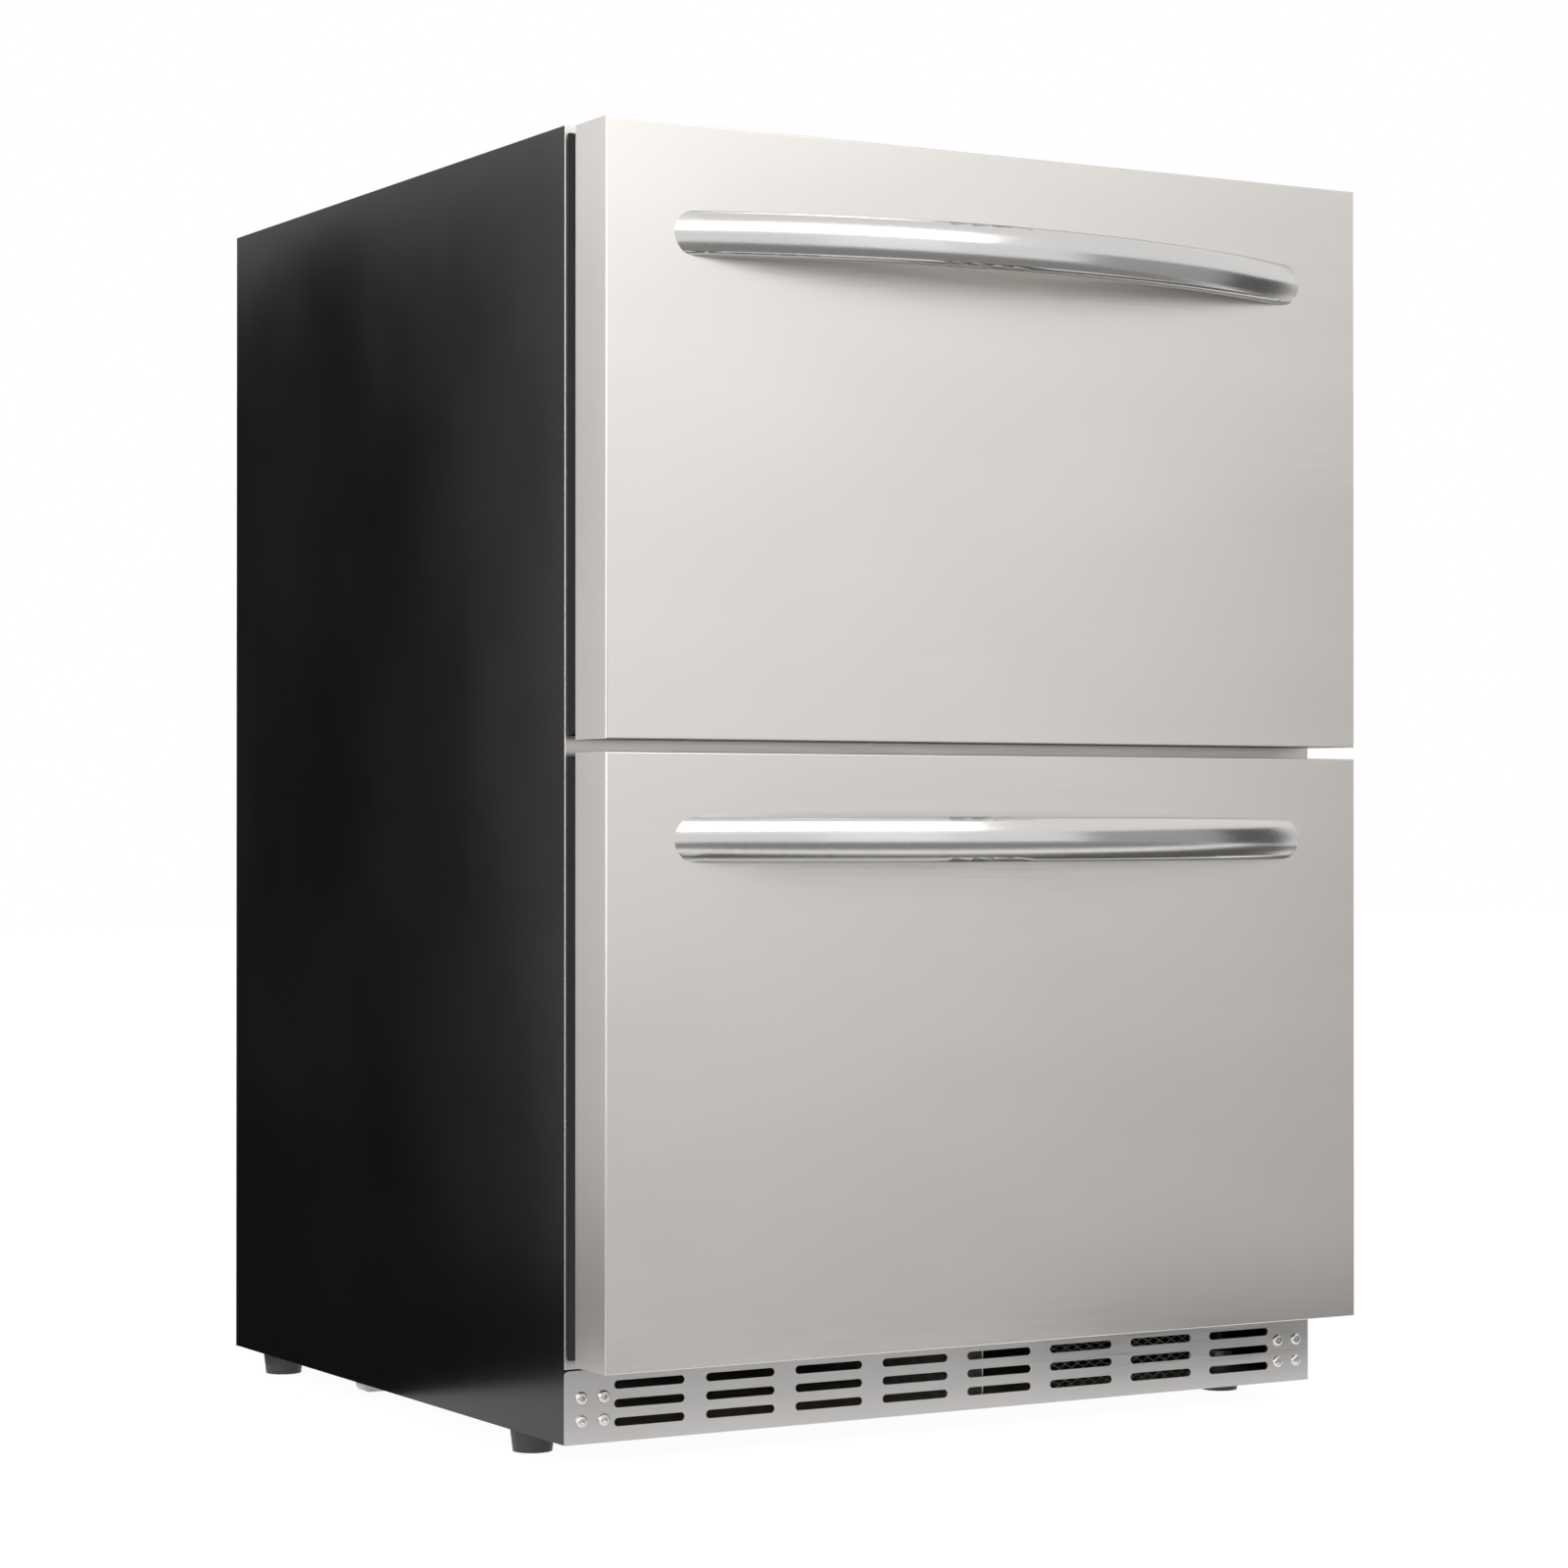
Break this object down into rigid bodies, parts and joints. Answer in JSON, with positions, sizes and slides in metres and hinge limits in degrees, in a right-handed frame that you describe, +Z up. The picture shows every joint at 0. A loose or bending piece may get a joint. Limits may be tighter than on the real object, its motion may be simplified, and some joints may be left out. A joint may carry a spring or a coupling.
{
  "type": "undercounter drawer refrigerator",
  "caption": "Built-in undercounter refrigerator: black insulated cabinet with stacked stainless drawer fronts, bow handles and a slotted toe grille.",
  "frame": {"origin": "on the floor, under the middle of the whole outline with the drawers shut", "axes": "+Z up, +X to the right when facing the drawers, drawers open towards -Y"},
  "size_m": [0.595, 0.6614, 0.86],
  "materials": {
    "painted_black": "satin, baked enamel",
    "black_sheet": "matt paint",
    "galvanised_steel": "galvanised",
    "stainless_frame": "satin stainless steel",
    "stainless_grille": "fine satin stainless steel",
    "stainless_front": "fine satin stainless steel",
    "polished_handle": "satin polished stainless steel",
    "bright_screw": "polished",
    "dark_screw": "zinc plated",
    "insulation_foam": "cut foam",
    "liner_aluminium": "satin",
    "gasket_rubber": "smooth, matt",
    "bin_steel": "brushed stainless steel",
    "slide_steel": "zinc plated",
    "white_plastic": "smooth",
    "black_plastic": "moulded",
    "guard_mesh": "galvanised mesh",
    "coil_metal": "plain",
    "copper": "copper tube",
    "compressor_enamel": "gloss enamel",
    "display_glass": "polished",
    "button_metal": "satin plated",
    "lamp_diffuser": "frosted",
    "foot_plastic": "moulded"
  },
  "bodies": {
    "cabinet": {"left_side_panel": "painted_black", "right_side_panel": "painted_black", "top_panel": "painted_black", "back_panel": "black_sheet", "rear_vent_cover": "black_sheet", "base_pan": "galvanised_steel", "compressor_plate": "galvanised_steel", "outer_rails": "galvanised_steel", "front_frame": "stainless_frame", "mullion": "stainless_frame", "toe_grille": "stainless_grille", "panel_screws": "bright_screw", "side_insulation": "insulation_foam", "top_insulation": "insulation_foam", "rear_insulation": "insulation_foam", "floor_insulation": "insulation_foam", "step_insulation": "insulation_foam", "inner_liner": "liner_aluminium", "evaporator_cover": "white_plastic", "temperature_probe": "white_plastic", "fan_shroud": "black_plastic", "condenser_fan_motor": "black_plastic", "evaporator_fan_motor": "black_plastic", "drip_pan": "black_plastic", "cord_gland": "black_plastic", "control_housing": "black_plastic", "condenser_guard": "guard_mesh", "condenser_coil": "coil_metal", "evaporator_coil": "coil_metal", "filter_drier": "copper", "refrigerant_lines": "copper", "compressor": "compressor_enamel", "control_display": "display_glass", "interior_lamp": "lamp_diffuser"},
    "upper_drawer": {"upper_front_shell": "stainless_front", "upper_front_core": "insulation_foam", "upper_inner_panel": "white_plastic", "upper_gasket": "gasket_rubber", "upper_handle": "polished_handle", "upper_handle_screws": "dark_screw", "upper_bin": "bin_steel", "upper_inner_rails": "slide_steel"},
    "lower_drawer": {"lower_front_shell": "stainless_front", "lower_front_core": "insulation_foam", "lower_inner_panel": "white_plastic", "lower_gasket": "gasket_rubber", "lower_handle": "polished_handle", "lower_handle_screws": "dark_screw", "lower_bin": "bin_steel", "lower_inner_rails": "slide_steel"},
    "upper_middle_rails": {"upper_middle_rails": "slide_steel"},
    "lower_middle_rails": {"lower_middle_rails": "slide_steel"},
    "condenser_fan": {"condenser_fan": "black_plastic"},
    "evaporator_fan": {"evaporator_fan": "white_plastic"},
    "warmer_button": {"warmer_button": "button_metal"},
    "colder_button": {"colder_button": "button_metal"},
    "front_left_foot": {"front_left_foot": "foot_plastic"},
    "front_right_foot": {"front_right_foot": "foot_plastic"},
    "rear_left_foot": {"rear_left_foot": "foot_plastic"},
    "rear_right_foot": {"rear_right_foot": "foot_plastic"}
  },
  "joints": [
    {"name": "upper_drawer_slide", "type": "slide", "parent": "cabinet", "child": "upper_drawer", "axis": [0, -1, 0], "range_m": [0, 0.4]},
    {"name": "upper_rail_slide", "type": "slide", "parent": "cabinet", "child": "upper_middle_rails", "axis": [0, -1, 0], "range_m": [0, 0.2]},
    {"name": "lower_drawer_slide", "type": "slide", "parent": "cabinet", "child": "lower_drawer", "axis": [0, -1, 0], "range_m": [0, 0.3]},
    {"name": "lower_rail_slide", "type": "slide", "parent": "cabinet", "child": "lower_middle_rails", "axis": [0, -1, 0], "range_m": [0, 0.15]},
    {"name": "condenser_fan_spin", "type": "hinge", "parent": "cabinet", "child": "condenser_fan", "pos_m": [0.062, 0.24265, 0.1155], "axis": [1, 0, 0], "continuous": true},
    {"name": "evaporator_fan_spin", "type": "hinge", "parent": "cabinet", "child": "evaporator_fan", "pos_m": [0, 0.21875, 0.738], "axis": [0, 1, 0], "continuous": true},
    {"name": "warmer_press", "type": "slide", "parent": "cabinet", "child": "warmer_button", "axis": [0, 1, 0], "range_m": [0, 0.0012], "stiffness_N_per_m": 400},
    {"name": "colder_press", "type": "slide", "parent": "cabinet", "child": "colder_button", "axis": [0, 1, 0], "range_m": [0, 0.0012], "stiffness_N_per_m": 400},
    {"name": "front_left_foot_height", "type": "slide", "parent": "cabinet", "child": "front_left_foot", "axis": [0, 0, -1], "range_m": [0, 0.02]},
    {"name": "front_right_foot_height", "type": "slide", "parent": "cabinet", "child": "front_right_foot", "axis": [0, 0, -1], "range_m": [0, 0.02]},
    {"name": "rear_left_foot_height", "type": "slide", "parent": "cabinet", "child": "rear_left_foot", "axis": [0, 0, -1], "range_m": [0, 0.02]},
    {"name": "rear_right_foot_height", "type": "slide", "parent": "cabinet", "child": "rear_right_foot", "axis": [0, 0, -1], "range_m": [0, 0.02]}
  ],
  "couplings": [
    {"joint": "upper_rail_slide", "follows": "upper_drawer_slide", "ratio": 0.5},
    {"joint": "lower_rail_slide", "follows": "lower_drawer_slide", "ratio": 0.5}
  ]
}
